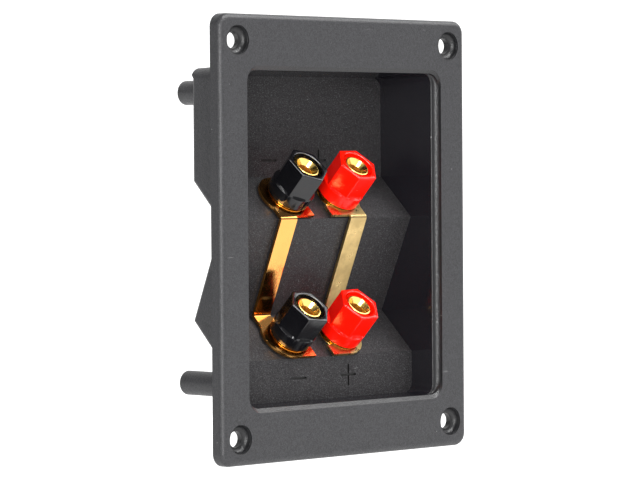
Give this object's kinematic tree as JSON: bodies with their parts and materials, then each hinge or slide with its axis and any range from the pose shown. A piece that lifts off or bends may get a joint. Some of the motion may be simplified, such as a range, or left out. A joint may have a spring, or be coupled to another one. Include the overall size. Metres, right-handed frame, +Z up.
{
  "type": "loudspeaker bi-wire terminal cup",
  "caption": "Recessed loudspeaker terminal cup with a stepped floor, slanted binding posts for bare wire or banana plugs, removable jumper links and rear standoffs.",
  "frame": {"origin": "centre of the flange's rear face, where it meets the cabinet's panel", "axes": "-Y out of the cabinet towards the user, +X to the right seen from outside, +Z up"},
  "size_m": [0.0934, 0.0309, 0.1188],
  "materials": {
    "moulded_black": "grained dark grey ABS moulding, glossy on the recess's side walls and lip",
    "black_cap": "glossy black moulded plastic",
    "red_cap": "glossy red moulded plastic",
    "gold": "gold-plated brass, polished",
    "gold_sheet": "gold-plated brass strip, polished",
    "nickel": "nickel-plated steel",
    "tinned": "tinned brass"
  },
  "bodies": {
    "cup": {"terminal_cup": "moulded_black", "upper_black_stud": "gold", "upper_black_rear_washer": "nickel", "upper_black_solder_tab": "tinned", "upper_black_rear_nut": "nickel", "upper_red_stud": "gold", "upper_red_rear_washer": "nickel", "upper_red_solder_tab": "tinned", "upper_red_rear_nut": "nickel", "lower_black_stud": "gold", "lower_black_rear_washer": "nickel", "lower_black_solder_tab": "tinned", "lower_black_rear_nut": "nickel", "lower_red_stud": "gold", "lower_red_rear_washer": "nickel", "lower_red_solder_tab": "tinned", "lower_red_rear_nut": "nickel"},
    "upper_black_washer": {"upper_black_clamp_washer": "gold"},
    "upper_black_cap": {"upper_black_cap": "black_cap", "upper_black_cap_insert": "gold"},
    "upper_red_washer": {"upper_red_clamp_washer": "gold"},
    "upper_red_cap": {"upper_red_cap": "red_cap", "upper_red_cap_insert": "gold"},
    "lower_black_washer": {"lower_black_clamp_washer": "gold"},
    "lower_black_cap": {"lower_black_cap": "black_cap", "lower_black_cap_insert": "gold"},
    "lower_red_washer": {"lower_red_clamp_washer": "gold"},
    "lower_red_cap": {"lower_red_cap": "red_cap", "lower_red_cap_insert": "gold"},
    "black_link": {"black_link": "gold_sheet"},
    "red_link": {"red_link": "gold_sheet"}
  },
  "joints": [
    {"name": "upper_black_lift", "type": "slide", "parent": "cup", "child": "upper_black_washer", "axis": [0, -0.7071, 0.7071], "range_m": [0, 0.005]},
    {"name": "upper_black_turn", "type": "hinge", "parent": "upper_black_washer", "child": "upper_black_cap", "pos_m": [-0.00953, 0.01105, 0.01005], "axis": [0, -0.7071, 0.7071], "range_deg": [0, 1810]},
    {"name": "upper_red_lift", "type": "slide", "parent": "cup", "child": "upper_red_washer", "axis": [0, -0.7071, 0.7071], "range_m": [0, 0.005]},
    {"name": "upper_red_turn", "type": "hinge", "parent": "upper_red_washer", "child": "upper_red_cap", "pos_m": [0.00953, 0.01105, 0.01005], "axis": [0, -0.7071, 0.7071], "range_deg": [0, 1810]},
    {"name": "lower_black_lift", "type": "slide", "parent": "cup", "child": "lower_black_washer", "axis": [0, -0.7071, 0.7071], "range_m": [0, 0.005]},
    {"name": "lower_black_turn", "type": "hinge", "parent": "lower_black_washer", "child": "lower_black_cap", "pos_m": [-0.00953, 0.01065, -0.02805], "axis": [0, -0.7071, 0.7071], "range_deg": [0, 1810]},
    {"name": "lower_red_lift", "type": "slide", "parent": "cup", "child": "lower_red_washer", "axis": [0, -0.7071, 0.7071], "range_m": [0, 0.005]},
    {"name": "lower_red_turn", "type": "hinge", "parent": "lower_red_washer", "child": "lower_red_cap", "pos_m": [0.00953, 0.01065, -0.02805], "axis": [0, -0.7071, 0.7071], "range_deg": [0, 1810]},
    {"name": "black_link_slide", "type": "slide", "parent": "cup", "child": "black_link", "axis": [-1, 0, 0], "range_m": [-0.0012, 0.0105]},
    {"name": "red_link_slide", "type": "slide", "parent": "cup", "child": "red_link", "axis": [1, 0, 0], "range_m": [-0.0001, 0.011]}
  ],
  "couplings": [
    {"joint": "upper_black_turn", "follows": "upper_black_lift", "rad_per_m": 6283.2},
    {"joint": "upper_red_turn", "follows": "upper_red_lift", "rad_per_m": 6283.2},
    {"joint": "lower_black_turn", "follows": "lower_black_lift", "rad_per_m": 6283.2},
    {"joint": "lower_red_turn", "follows": "lower_red_lift", "rad_per_m": 6283.2}
  ]
}
